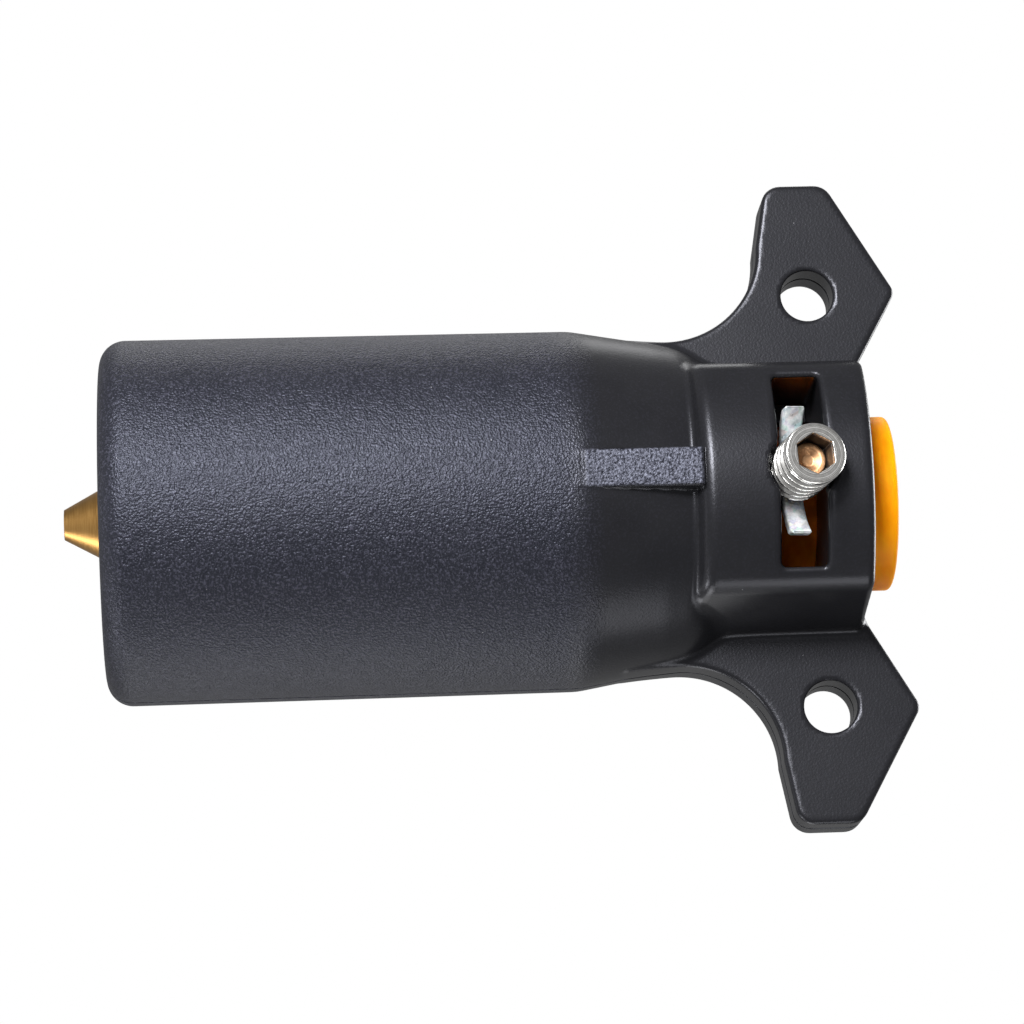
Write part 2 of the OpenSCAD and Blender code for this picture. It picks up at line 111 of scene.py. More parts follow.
def rmin(a, b, r):
    """Union of two fields with a fillet of radius r."""
    return -rmax(-a, -b, r)


def polygon(px, py, points):
    """Signed distance to a closed polygon, negative inside."""
    px, py = np.broadcast_arrays(px, py)
    best = np.full(px.shape, 1e9)
    sign = np.ones(px.shape)
    for (ax, ay), (bx, by) in zip(points, points[1:] + points[:1]):
        ex, ey, wx, wy = bx - ax, by - ay, px - ax, py - ay
        t = np.clip((wx * ex + wy * ey) / (ex * ex + ey * ey), 0, 1)
        best = np.minimum(best, (wx - ex * t) ** 2 + (wy - ey * t) ** 2)
        above, below, left = py >= ay, py < by, ex * wy > ey * wx
        flip = (above & below & left) | (~above & ~below & ~left)
        sign = np.where(flip, -sign, sign)
    return sign * np.sqrt(best)


def arc(cx, cy, r, a, b, n=8):
    """Points on an arc from angle a to angle b, in degrees."""
    turn = np.radians(np.linspace(a, b, n))
    return [(cx + r * math.cos(t), cy + r * math.sin(t)) for t in turn]


def slab(v, lo, hi):
    return np.maximum(lo - v, v - hi)


def box2(u, v, hu, hv, r):
    """A rectangle with rounded corners."""
    du, dv = np.abs(u) - hu + r, np.abs(v) - hv + r
    return np.hypot(np.maximum(du, 0), np.maximum(dv, 0)) + np.minimum(np.maximum(du, dv), 0) - r


def hexagon(u, v, across, turn):
    """Distance to a hexagon of the given width across flats, turned by an angle in radians."""
    best = None
    for k in range(3):
        a = turn + k * math.pi / 3
        side = np.abs(u * math.cos(a) + v * math.sin(a)) - across / 2
        best = side if best is None else np.maximum(best, side)
    return best


class Profile:
    """A radius along Z from a few knots, softened, with its slope."""

    def __init__(self, knots, soft):
        self.z = np.arange(knots[0][0], knots[-1][0], 0.05)
        raw = np.interp(self.z, [k[0] for k in knots], [k[1] for k in knots])
        w = np.exp(-0.5 * (np.arange(-60, 61) * 0.05 / soft) ** 2)
        pad = np.concatenate([np.full(60, raw[0]), raw, np.full(60, raw[-1])])
        self.r = np.convolve(pad, w / w.sum(), "valid")
        self.cos = 1 / np.sqrt(1 + np.gradient(self.r, 0.05) ** 2)

    def dist(self, rr, z):
        return (rr - np.interp(z, self.z, self.r)) * np.interp(z, self.z, self.cos)


# ---- mesh from a field ----------------------------------------------------------------------
# How softly a vertex is pulled onto a crease, and how wide an edge's shading is on the housing
CREASE_SOFT = 0.04
EDGE_SOFTEN = 0.14


def axis_steps(*spans):
    """Grid lines from (start, end, step) spans that follow each other."""
    out = [np.array([spans[0][0]])]
    for a, b, step in spans:
        n = max(1, round((b - a) / step))
        out.append(np.linspace(a, b, n + 1)[1:])
    return np.concatenate(out)


def at_points(field, v):
    return field(v[:, 0], v[:, 1], v[:, 2])


def gradient(field, v, h=0.01):
    """Slope of the field along each axis at some points."""
    here = at_points(field, v)
    return np.stack([at_points(field, v + h * np.eye(3)[k]) - here for k in range(3)], axis=1) / h


def unit(v):
    return v / np.maximum(np.linalg.norm(v, axis=1), 1e-6)[:, None]


def net(field, xs, ys, zs):
    """Dual mesh of the zero set of field on a rectangular grid, its vertices pulled onto the creases."""
    f = field(xs[:, None, None], ys[None, :, None], zs[None, None, :])
    f = np.ascontiguousarray(np.broadcast_to(f, (len(xs), len(ys), len(zs))))
    inside = f < 0
    shape = np.array(f.shape) - 1
    grid = (xs, ys, zs)
    ids, points, normals, quads = [], [], [], []
    for ax in range(3):
        lo = [slice(None)] * 3
        hi = [slice(None)] * 3
        lo[ax], hi[ax] = slice(None, -1), slice(1, None)
        at = np.array(np.nonzero(inside[tuple(lo)] != inside[tuple(hi)]))
        up = at.copy()
        up[ax] += 1
        f0, f1 = f[tuple(at)], f[tuple(up)]
        p = np.stack([grid[k][at[k]] for k in range(3)])
        p[ax] += f0 / (f0 - f1) * (grid[ax][up[ax]] - grid[ax][at[ax]])
        n = unit(gradient(field, p.T)).T
        b, c = (ax + 1) % 3, (ax + 2) % 3
        corner = []
        for db, dc in ((-1, -1), (0, -1), (0, 0), (-1, 0)):
            cell = at.copy()
            cell[b] += db
            cell[c] += dc
            good = np.all((cell >= 0) & (cell < shape[:, None]), axis=0)
            flat = (cell[0] * shape[1] + cell[1]) * shape[2] + cell[2]
            ids.append(flat[good])
            points.append(p[:, good])
            normals.append(n[:, good])
            corner.append(np.where(good, flat, -1))
        quad = np.stack(corner, axis=1)
        quad = np.where((f0 < 0)[:, None], quad, quad[:, ::-1])
        quads.append(quad[np.all(quad >= 0, axis=1)])
    ids, quads = np.concatenate(ids), np.concatenate(quads)
    points, normals = np.concatenate(points, axis=1), np.concatenate(normals, axis=1)
    used, back = np.unique(ids, return_inverse=True)
    count = np.bincount(back)
    middle = np.stack([np.bincount(back, points[k]) / count for k in range(3)], axis=1)
    off = (normals * (points - middle[back].T)).sum(axis=0)
    square = np.empty((len(used), 3, 3))
    pull = np.empty((len(used), 3))
    for i in range(3):
        pull[:, i] = np.bincount(back, normals[i] * off)
        for j in range(3):
            square[:, i, j] = np.bincount(back, normals[i] * normals[j]) + (i == j) * CREASE_SOFT
    move = np.linalg.solve(square, pull[:, :, None])[:, :, 0]
    cell_size = min(np.diff(xs).min(), np.diff(ys).min(), np.diff(zs).min())
    move /= np.maximum(np.linalg.norm(move, axis=1) / cell_size, 1)[:, None]
    return middle + move, np.searchsorted(used, quads)


def build(name, verts, faces, normals=None):
    """A smooth mesh object from vertices in millimetres and equal-sided faces."""
    mesh = bpy.data.meshes.new(name)
    n, m, k = len(verts), len(faces), faces.shape[1]
    mesh.vertices.add(n)
    mesh.vertices.foreach_set("co", (verts * MM).astype(np.float32).ravel())
    mesh.loops.add(m * k)
    mesh.loops.foreach_set("vertex_index", faces.astype(np.int32).ravel())
    mesh.polygons.add(m)
    mesh.polygons.foreach_set("loop_start", np.arange(m, dtype=np.int32) * k)
    mesh.polygons.foreach_set("use_smooth", np.ones(m, dtype=bool))
    mesh.update(calc_edges=True)
    mesh.validate()
    if normals is not None and len(mesh.vertices) == n:
        mesh.normals_split_custom_set_from_vertices(normals.tolist())
    obj = bpy.data.objects.new(name, mesh)
    bpy.context.scene.collection.objects.link(obj)
    return obj


def solid(name, field, xs, ys, zs, steps=2, soften=0.02):
    """A closed piece of a field: every vertex moved onto the true surface, edges shaded over a short width."""
    verts, faces = net(field, xs, ys, zs)
    reach = 0.5 * max(np.diff(xs).min(), np.diff(ys).min(), np.diff(zs).min())
    for _ in range(steps):
        g = gradient(field, verts)
        size = np.maximum((g ** 2).sum(axis=1), 0.05)
        move = -(at_points(field, verts) / size)[:, None] * g
        far = np.maximum(np.linalg.norm(move, axis=1) / reach, 1)
        verts = verts + move / far[:, None]
    inner = verts - soften * unit(gradient(field, verts))
    return build(name, verts, faces, unit(gradient(field, inner, soften) + gradient(field, inner, -soften)))


# ---- the housing ----------------------------------------------------------------------------
OUTER = Profile(NECK_KNOTS, 0.45)
INNER = Profile([(-80, 15.8), (-24.6, 15.65), (-14, 13.7), (-9.5, 11.3), (-4, 11.3)], 0.25)


def ear_points():
    reach, slope = EAR_REACH, 0.57
    lean = 90 - math.degrees(math.atan(slope))
    s = math.sin(math.radians(lean))
    end_z = 9.0 - (reach - 21.35) * slope - 2 * (1 / s - slope)
    tip_z = 9.0 - 1.2 / s
    return ([(0, -20), (16.7, -20)] + arc(26.4, -14.6, 9.7, 180, 90, 28) + arc(reach - 1.9, -2.15, 1.9, -80, 0)
            + arc(reach - 2, end_z, 2, 0, lean) + arc(21.35, tip_z, 1.2, lean, 180 - lean)
            + [(11.88, REAR_Z), (0, REAR_Z)])


EAR = ear_points()
SADDLE_PLAN = [(-13.9, 6), (-13.9, -2), (-11.3, -14), (-11.0, -24), (11.0, -24), (11.3, -14), (13.9, -2), (13.9, 6)]


def screw_axes(x, y, z):
    """Depth below the screw's outer face, and the two offsets from its axis."""
    s, c = math.sin(SCREW_TILT), math.cos(SCREW_TILT)
    dy, dz = y - SCREW_FACE[1], z - SCREW_FACE[2]
    return dy * c - dz * s, x, dy * s + dz * c


def outside(x, y, z):
    """Body, neck and ears of either half."""
    rr = np.hypot(x, y)
    body = rmax(OUTER.dist(rr, z), z - REAR_Z, 0.5)
    body = rmax(body, FRONT_Z - z, FRONT_EDGE_R)
    ears = rmax(polygon(np.abs(x), z, EAR), np.abs(y) - EAR_T, 0.5)
    return rmin(body, ears, 0.7)


def hollow(x, y, z, web_y):
    """The space inside either half."""
    rr = np.hypot(x, y)
    space = rmax(INNER.dist(rr, z), slab(z, FRONT_Z + WALL, -9.5), 0.3)
    for bz in BOSS_Z:
        space = rmax(space, 3.3 - np.hypot(np.abs(x) - BOSS_X, z - bz), 0)
    web = np.maximum(np.maximum(6.15 - rr, slab(z, -33.5, -30.2)), y - web_y)
    space = np.maximum(space, -web)
    space = np.minimum(space, np.maximum(rr - 8.1, slab(z, -10.5, 20)))
    space = np.minimum(space, np.maximum(rr - 5.2, slab(z, -90, FRONT_Z + WALL + 1)))
    return np.minimum(space, np.hypot(np.abs(x) - EAR_HOLE_X, z) - EAR_HOLE_R)


def front_field(x, y, z):
    rr = np.hypot(x, y)
    shape = outside(x, y, z)
    saddle = rmax(rr - SADDLE_R, polygon(x, y, SADDLE_PLAN), 0.9)
    saddle = rmax(saddle, z - REAR_Z, 0.8)
    lip = (-12.75 - z) * 0.86 + (rr - SADDLE_R) * 0.5
    saddle = rmax(saddle, lip, 0.8)
    shape = rmin(shape, saddle, 0.45)
    rib = np.maximum(slab(z, -25.4, -12.9), rr * 0 - y - RIB_Y)
    rib = rmax(rib, np.abs(x) - RIB_HALF, 0.3)
    shape = rmin(shape, rib, 0.08)
    shape = rmax(shape, -hollow(x, y, z, 99), 0.25)
    slot = np.maximum(box2(x, z - SLOT_Z, *SLOT_HALF, 0.5), y + 4)
    shape = rmax(shape, -slot, 0.6)
    w, u, v = screw_axes(x, y, z)
    q = np.hypot(u, v)
    hole = np.minimum(np.maximum(q - SCREW_R - 0.4, w - MOUTH_END), np.maximum(q - SCREW_R - 0.03, w - THREAD_END))
    hole = np.minimum(hole, np.maximum(q - 2.5, w - SEAT_END - 1))
    shape = rmax(shape, -hole, 0.25)
    pilots = None
    for bz in BOSS_Z:
        p = np.maximum(np.hypot(np.abs(x) - BOSS_X, z - bz) - 1.33, -6.05 - y)
        pilots = p if pilots is None else np.minimum(pilots, p)
    shape = np.maximum(shape, -pilots)
    relief = np.maximum(np.maximum(30.4 - np.abs(x), -0.3 - y), slab(z, -2.2, 1.6))
    shape = np.maximum(shape, -relief)
    return rmax(shape, y + 0.02, 0.14)


def rear_field(x, y, z):
    shape = outside(x, y, z)
    shape = rmax(shape, -hollow(x, y, z, 6), 0.25)
    for bz in BOSS_Z:
        q = np.hypot(np.abs(x) - BOSS_X, z - bz)
        shape = rmax(shape, 1.4 - q, 0)
        shape = rmax(shape, -np.maximum(q - 2.4, 7 - y), 0.25)
    window = np.maximum(box2(x, z + 32.5, 6.45, 3.35, 0.3), 11.4 - y)
    shape = rmax(shape, -window, 0.25)
    return rmax(shape, 0.02 - y, 0.14)


def shell_grid(front):
    xs = axis_steps((-33.2, 33.2, 0.35))
    ys = axis_steps((-18.6, -3.5, 0.36), (-3.5, -2.5, 0.13), (-2.5, -0.4, 0.42), (-0.4, 0.31, 0.1))
    ys = ys if front else -ys[::-1]
    zs = axis_steps((-71.8, -66.4, 0.35), (-66.4, -46.4, 1.6), (-46.4, -28.3, 0.6), (-28.3, -14.4, 0.4),
                    (-14.4, 9.2, 0.33))
    return xs, ys, zs


# ---- materials ------------------------------------------------------------------------------
class Nodes:
    """A material's node tree, with short calls for what every material here uses."""

    def __init__(self, name):
        self.mat = bpy.data.materials.new(name)
        self.mat.use_nodes = True
        self.tree = self.mat.node_tree
        self.shader = self.tree.nodes["Principled BSDF"]
        where = self.tree.nodes.new("ShaderNodeTexCoord")
        scale = self.tree.nodes.new("ShaderNodeVectorMath")
        scale.operation = "SCALE"
        scale.inputs["Scale"].default_value = 1 / MM
        self.tree.links.new(where.outputs["Object"], scale.inputs[0])
        self.mm = scale.outputs[0]

    def node(self, kind, **values):
        made = self.tree.nodes.new(kind)
        for key, value in values.items():
            if hasattr(made, key):
                setattr(made, key, value)
            else:
                self.feed(made.inputs[key], value)
        return made

    def feed(self, socket, value):
        if isinstance(value, bpy.types.NodeSocket):
            self.tree.links.new(value, socket)
        else:
            socket.default_value = value

    def set(self, **values):
        for key, value in values.items():
            self.feed(self.shader.inputs[key.replace("_", " ")], value)

    def math(self, op, a, b=0.0, c=0.0, clamp=False):
        made = self.node("ShaderNodeMath", operation=op, use_clamp=clamp)
        for i, v in enumerate((a, b, c)):
            self.feed(made.inputs[i], v)
        return made.outputs[0]

    def noise(self, scale, detail=2.0, rough=0.5, stretch=None, distortion=0.0):
        at = self.mm
        if stretch:
            m = self.node("ShaderNodeVectorMath", operation="MULTIPLY")
            self.tree.links.new(self.mm, m.inputs[0])
            m.inputs[1].default_value = stretch
            at = m.outputs[0]
        made = self.node("ShaderNodeTexNoise", Vector=at, Scale=scale, Detail=detail, Roughness=rough, Distortion=distortion)
        return made.outputs["Fac"]

    def spots(self, scale, kind="F1", out="Distance"):
        made = self.node("ShaderNodeTexVoronoi", feature=kind, Vector=self.mm, Scale=scale)
        return made.outputs[out]

    def ramp(self, fac, *stops):
        made = self.tree.nodes.new("ShaderNodeValToRGB")
        self.feed(made.inputs["Fac"], fac)
        ends = made.color_ramp.elements
        while len(ends) < len(stops):
            ends.new(0.5)
        for e, (at, colour) in zip(ends, stops):
            e.position = at
            e.color = (*colour, 1) if isinstance(colour, tuple) else (colour, colour, colour, 1)
        return made.outputs["Color"]

    def mix(self, fac, a, b, kind="MIX"):
        made = self.node("ShaderNodeMix", data_type="RGBA", blend_type=kind)
        self.feed(made.inputs["Factor"], fac)
        self.feed(made.inputs[6], a if not isinstance(a, tuple) else (*a, 1))
        self.feed(made.inputs[7], b if not isinstance(b, tuple) else (*b, 1))
        return made.outputs[2]

    def span(self, fac, a, b, c, d):
        made = self.node("ShaderNodeMapRange")
        for i, v in enumerate((fac, a, b, c, d)):
            self.feed(made.inputs[i], v)
        return made.outputs[0]

    def part(self, axis):
        made = self.node("ShaderNodeSeparateXYZ", Vector=self.mm)
        return made.outputs[axis]

    def lift(self, value):
        """A vector whose first part is a value."""
        made = self.node("ShaderNodeCombineXYZ")
        self.feed(made.inputs[0], value)
        return made.outputs[0]

    def vector(self, kind, a, b=(0, 0, 0)):
        made = self.node("ShaderNodeVectorMath", operation=kind)
        self.feed(made.inputs[0], a)
        self.feed(made.inputs[1], b)
        return made.outputs["Value" if kind in ("LENGTH", "DOT_PRODUCT") else "Vector"]

    def from_axis(self, point, axis):
        """Depth along an axis through a point, and distance from that axis, in millimetres."""
        rel = self.vector("SUBTRACT", self.mm, tuple(point))
        return self.vector("DOT_PRODUCT", rel, tuple(axis)), self.vector("LENGTH", self.vector("CROSS_PRODUCT", rel, tuple(axis)))

    def bump(self, height, strength, distance_mm):
        made = self.node("ShaderNodeBump", Strength=strength, Distance=distance_mm * MM, Height=height)
        self.tree.links.new(made.outputs[0], self.shader.inputs["Normal"])
        return made


def housing_plastic():
    n = Nodes("housing_plastic")
    z, x, y = n.part(2), n.part(0), n.part(1)
    fine = n.noise(4.4, 1, 0.6)
    coarse = n.noise(3.4, 1, 0.6)
    blotch = n.noise(0.12, 3, 0.6)
    on_body = n.span(z, -22.5, -27, 0.1, 1)
    on_rib = n.math("MULTIPLY", n.span(n.math("ABSOLUTE", x), 1.95, 1.75, 0, 1), n.span(z, -12.9, -13.2, 0, 1))
    on_rib = n.math("MULTIPLY", on_rib, n.span(z, -24.8, -24.2, 0, 1))
    on_rib = n.math("MULTIPLY", on_rib, n.span(y, -17.4, -17.8, 0, 1))
    amount = n.math("MAXIMUM", on_body, on_rib)
    grain = n.math("ADD", n.math("MULTIPLY", fine, amount), n.math("MULTIPLY", coarse, n.math("MULTIPLY", on_rib, 0.7)))
    smooth = n.ramp(blotch, (0.3, (0.0062, 0.0062, 0.007)), (0.7, (0.0086, 0.0086, 0.0096)))
    colour = n.ramp(blotch, (0.3, (0.0062, 0.0066, 0.0095)), (0.7, (0.0088, 0.0092, 0.0125)))
    colour = n.mix(amount, smooth, colour)
    sheen = n.mix(amount, (0.84, 0.85, 0.94), (0.76, 0.8, 1.0))
    # Lighter specks on the fine grain: partly the grain's own tone, partly painted glint that sparkles whatever the
    # light.
    colour = n.mix(n.math("MULTIPLY", n.span(fine, 0.5, 0.68, 0, 1), amount), colour,
                   (0.025, 0.025, 0.035))
    # Painted highlight: the rib top's coarse grain is lightened toward pale blue-grey to stand in for its bright
    # reflection.
    colour = n.mix(n.math("MULTIPLY", on_rib, n.span(coarse, 0.4, 0.66, 0, 1)), colour, (0.075, 0.078, 0.1))
    speck = n.spots(0.55)
    keep = n.math("LESS_THAN", speck, 0.022)
    rare = n.math("GREATER_THAN", n.noise(0.6, 0), 0.6)
    colour = n.mix(n.math("MULTIPLY", n.math("MULTIPLY", keep, rare), 0.8), colour, (0.5, 0.5, 0.52))
    n.set(Base_Color=colour, IOR=1.5, Specular_IOR_Level=0.25, Specular_Tint=sheen,
          Roughness=n.span(n.math("ADD", amount, n.math("MULTIPLY", blotch, 0.15)), 0.15, 1.1, 0.3, 0.39))
    n.bump(grain, 1.0, 0.13)
    return n.mat


def amber():
    n = Nodes("amber_polymer")
    swirl = n.noise(0.35, 3, 0.6, stretch=(1, 1, 2.2))
    fine = n.noise(6, 2, 0.5, stretch=(1, 1, 6))
    light = n.ramp(swirl, (0.3, (0.9, 0.29, 0.001)), (0.7, (0.98, 0.37, 0.003)))
    # Painted shade: the core is darker and redder below the housing's rear face, where the housing shades it. The
    # flange outside keeps the open tone.
    amber_in_painted_shade = n.ramp(swirl, (0.3, (0.5, 0.1, 0.004)), (0.7, (0.62, 0.15, 0.006)))
    colour = n.mix(n.span(n.part(2), 3.7, 4.4, 0, 1), amber_in_painted_shade, light)
    n.set(Base_Color=colour, Roughness=n.span(fine, 0.3, 0.7, 0.34, 0.48), IOR=1.45,
          Specular_IOR_Level=0.2, Specular_Tint=(1.0, 0.75, 0.35, 1),
          Subsurface_Weight=0.4, Subsurface_Scale=0.004, Subsurface_Radius=(1.0, 0.45, 0.06))
    n.bump(fine, 0.12, 0.03)
    return n.mat


def metal(name, dark, light, rough, stretch=(1, 1, 1), scale=1.6, grain=0.1, depth=0.02, anis=0.0):
    n = Nodes(name)
    cloud = n.noise(scale, 4, 0.6, stretch=stretch)
    scratch = n.noise(9, 2, 0.6, stretch=tuple(4 * s for s in stretch))
    both = n.math("ADD", n.math("MULTIPLY", cloud, 0.6), n.math("MULTIPLY", scratch, 0.4))
    n.set(Base_Color=n.ramp(both, (0.35, dark), (0.65, light)), Metallic=1.0,
          Roughness=n.span(both, 0.35, 0.65, rough[0], rough[1]), Anisotropic=anis)
    n.bump(scratch, grain, depth)
    return n.mat


def dull(name, dark, light, rough, scale=1.2, grain=0.3, depth=0.05, stretch=(1, 1, 1), spec=0.5):
    n = Nodes(name)
    cloud = n.noise(scale, 4, 0.6, stretch=stretch)
    fine = n.noise(7, 3, 0.6, stretch=stretch)
    both = n.math("ADD", n.math("MULTIPLY", cloud, 0.55), n.math("MULTIPLY", fine, 0.45))
    n.set(Base_Color=n.ramp(both, (0.35, dark), (0.65, light)), Roughness=n.span(both, 0.35, 0.65, *rough),
          Specular_IOR_Level=spec)
    n.bump(fine, grain, depth)
    return n.mat


def zinc():
    n = Nodes("zinc_plated_steel")
    spangle = n.spots(1.7, out="Color")
    cloud = n.noise(1.3, 3, 0.6)
    fine = n.noise(8, 3, 0.6)
    tone = n.mix(0.35, n.ramp(cloud, (0.35, (0.5, 0.57, 0.58)), (0.6, (0.92, 0.95, 0.96))), spangle, "SOFT_LIGHT")
    n.set(Base_Color=tone, Metallic=0.55, Roughness=n.span(cloud, 0.3, 0.7, 0.25, 0.5))
    n.bump(n.math("ADD", cloud, n.math("MULTIPLY", fine, 0.3)), 0.5, 0.08)
    return n.mat


def screw_steel():
    """Bright turned steel with lathe rings on the face, and painted shade inside the socket."""
    n = Nodes("screw_steel")
    depth, q = n.from_axis(SCREW_FACE, SCREW_JOINT["axis"])
    rings = n.node("ShaderNodeTexNoise", Vector=n.lift(q), Scale=9.0, Detail=2.0, Roughness=0.6).outputs["Fac"]
    cloud = n.noise(2.2, 3, 0.6)
    tone = n.ramp(n.math("ADD", n.math("MULTIPLY", rings, 0.6), n.math("MULTIPLY", cloud, 0.4)),
                  (0.35, (0.5, 0.49, 0.47)), (0.65, (0.86, 0.85, 0.83)))
    # Painted shade: inside the hex socket the steel is made near-black, less metallic and rougher, as the recess is
    # shaded.
    socket = n.math("MULTIPLY", n.span(q, 2.12, 2.02, 0, 1), n.span(depth, 0.12, 0.7, 0, 1))
    n.set(Base_Color=n.mix(socket, tone, (0.035, 0.026, 0.022)), Metallic=n.span(socket, 0, 1, 1.0, 0.4),
          Roughness=n.math("ADD", n.span(rings, 0.35, 0.65, 0.16, 0.34), n.math("MULTIPLY", socket, 0.25)))
    n.bump(rings, 0.35, 0.03)
    return n.mat


MATS = {
    "housing_plastic": housing_plastic(),
    "amber_polymer": amber(),
    "black_steel": metal("black_steel", (0.03, 0.03, 0.032), (0.06, 0.06, 0.065), (0.35, 0.5)),
    "stainless_steel": metal("stainless_steel", (0.5, 0.5, 0.5), (0.68, 0.68, 0.68), (0.22, 0.35), (0.4, 0.4, 4)),
    "block_aluminium": metal("block_aluminium", (0.6, 0.61, 0.62), (0.8, 0.8, 0.81), (0.3, 0.45), (0.3, 0.3, 4)),
    "nozzle_brass": metal("nozzle_brass", (0.3, 0.16, 0.046), (0.44, 0.255, 0.085), (0.3, 0.42), (0.3, 0.3, 5)),
    "pin_brass": metal("pin_brass", (0.6, 0.42, 0.16), (0.8, 0.6, 0.28), (0.25, 0.35)),
    "tip_brass": metal("tip_brass", (0.4, 0.21, 0.1), (0.66, 0.4, 0.22), (0.42, 0.56), scale=2.4),
    "screw_steel": screw_steel(),
    "zinc_plated_steel": zinc(),
    "white_ptfe": dull("white_ptfe", (0.75, 0.75, 0.72), (0.9, 0.9, 0.87), (0.35, 0.5)),
    "mica_board": dull("mica_board", (0.42, 0.36, 0.25), (0.66, 0.58, 0.42), (0.4, 0.7), stretch=(1, 1, 5)),
    "ceramic_fibre": dull("ceramic_fibre", (0.62, 0.58, 0.48), (0.86, 0.83, 0.74), (0.8, 0.95), 2.2, 0.8, 0.2),
    "lead_red": dull("lead_red", (0.32, 0.02, 0.015), (0.5, 0.04, 0.03), (0.4, 0.55)),
    "lead_white": dull("lead_white", (0.6, 0.6, 0.55), (0.85, 0.85, 0.8), (0.6, 0.8), 3.0, 0.6, 0.1),
    "header_nylon": dull("header_nylon", (0.62, 0.58, 0.46), (0.78, 0.75, 0.63), (0.4, 0.55)),
}


def finish_with(obj, slot_name):
    obj.data.materials.clear()
    obj.data.materials.append(MATS[slot_name])
    return obj


# ---- pieces ---------------------------------------------------------------------------------
def make_shells():
    front = solid("front_housing", front_field, *shell_grid(True), soften=EDGE_SOFTEN)
    rear = solid("rear_housing", rear_field, *shell_grid(False), soften=EDGE_SOFTEN)
    for piece, node in ((front, "front_shell"), (rear, "rear_shell")):
        finish_with(piece, "housing_plastic")
        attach(piece, "housing")
        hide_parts(node)


def make_core():
    lo, hi = CORE_LO, CORE_HI

    def field(x, y, z):
        rr = np.hypot(x, y)
        body = rmax(rr - 6, slab(z, lo[2], -29), 0.4)
        body = np.minimum(body, rmax(rr - 8, slab(z, -30, 4), 0.2))
        flange = rmax(rr - 8.75, slab(z, 3.65, hi[2]), 0.45)
        body = np.minimum(body, flange)
        bore = np.minimum(np.maximum(rr - 3.5, z + 32.05), np.maximum(rr - 2, z - 3))
        bore = np.minimum(bore, np.maximum(rr - 4.5, 2.15 - z))
        body = rmax(body, -bore, 0.15)
        w, u, v = screw_axes(x, y, z)
        return rmax(body, -np.maximum(np.hypot(u, v) - 2.3, w - SEAT_END), 0.1)

    xs = axis_steps((-9.1, 9.1, 0.28))
    zs = axis_steps((lo[2] - 0.4, -42.8, 0.28), (-42.8, -33, 1.0), (-33, -29, 0.3), (-29, -9, 1.0), (-9, hi[2] + 0.3, 0.25))
    piece = finish_with(solid("amber_core", field, xs, xs.copy(), zs), "amber_polymer")
    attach(piece, "housing")
    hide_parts("insulator_core")


def make_nozzle():
    lo, hi = NOZZLE_LO, NOZZLE_HI
    cone_z, hex_z, flat = -71.7, -68.2, 7.0
    cone = [(0, lo[2]), (1.5, lo[2]), (3.4, cone_z), (3.4, hex_z), (3, hex_z), (3, hi[2]), (0, hi[2])]
    cone = [(-r, z) for r, z in reversed(cone[1:-1])] + cone[1:-1]

    def field(x, y, z):
        rr = np.hypot(x, y)
        body = polygon(rr, z, cone) + 0.08
        body = body - 0.08
        hexa = rmax(hexagon(x, y, flat, math.radians(40)), slab(z, cone_z, hex_z), 0.06)
        chamfer = (rr - 3.45) * 0.5 - (z - cone_z) * 0.86
        hexa = rmax(hexa, chamfer, 0.05)
        chamfer = (rr - 3.5) * 0.5 + (z - hex_z) * 0.86
        hexa = rmax(hexa, chamfer, 0.05)
        body = np.minimum(body, hexa)
        bore = np.minimum(rr - 0.2, np.maximum(rr - 1, lo[2] + 1.8 - z))
        taper = np.maximum((rr - 0.2) * 0.83 - (z - lo[2] - 0.6) * 0.55, lo[2] + 0.6 - z)
        bore = np.minimum(bore, np.maximum(taper, z - lo[2] - 1.9))
        return rmax(body, -bore, 0.04)

    xs = axis_steps((-4.2, 4.2, 0.1))
    zs = axis_steps((lo[2] - 0.15, -68.0, 0.1), (-68.0, hi[2] + 0.2, 0.4))
    piece = finish_with(solid("brass_nozzle", field, xs, xs.copy(), zs), "nozzle_brass")
    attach(piece, "housing")
    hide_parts("nozzle")


def screw_mesh(name, field, u_steps, v_steps, w_steps):
    """A piece made in the screw's own frame (u along X, v up the lean, w inwards), then set in place."""
    local = solid(name, field, u_steps, v_steps, w_steps)
    s, c = math.sin(SCREW_TILT), math.cos(SCREW_TILT)
    turn = Matrix(((1, 0, 0, 0), (0, s, c, 0), (0, c, -s, 0), (0, 0, 0, 1)))
    place = Matrix.Translation(Vector(SCREW_FACE * MM)) @ turn
    local.data.transform(place)
    local.data.flip_normals() if place.determinant() < 0 else None
    return local


def make_screw():
    depth = 0.62

    def field(u, v, w):
        q = np.hypot(u, v)
        turn = np.arctan2(v, u) / (2 * math.pi)
        phase = (w / PITCH + turn) % 1.0
        tooth = np.abs(phase - 0.5) * 2
        root = np.clip((tooth - 0.16) / 0.66, 0, 1) * np.clip((w - 0.3) / 0.7, 0, 1)
        shank = (q - SCREW_R + depth * root) * 0.7
        shank = np.maximum(shank, (q - SCREW_R + 0.15) * 0.7 - w * 0.7)
        shank = np.maximum(shank, (q - SCREW_R + 0.6) * 0.7 - (SCREW_L - w) * 0.7)
        body = rmax(shank, slab(w, 0, SCREW_L), 0.05)
        drill = np.maximum(hexagon(u, v, SOCKET_AF, SOCKET_TURN), w - SOCKET_DEPTH)
        drill = np.maximum(drill, -w - 1)
        body = rmax(body, -drill, 0.09)
        return np.maximum(body, 1.25 - q)

    us = axis_steps((-3.1, 3.1, 0.085))
    ws = axis_steps((-0.15, SCREW_L + 0.15, 0.085))
    piece = finish_with(screw_mesh("thread_screw", field, us, us.copy(), ws), "screw_steel")
    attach(piece, "set_screw")
    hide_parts("set_screw")


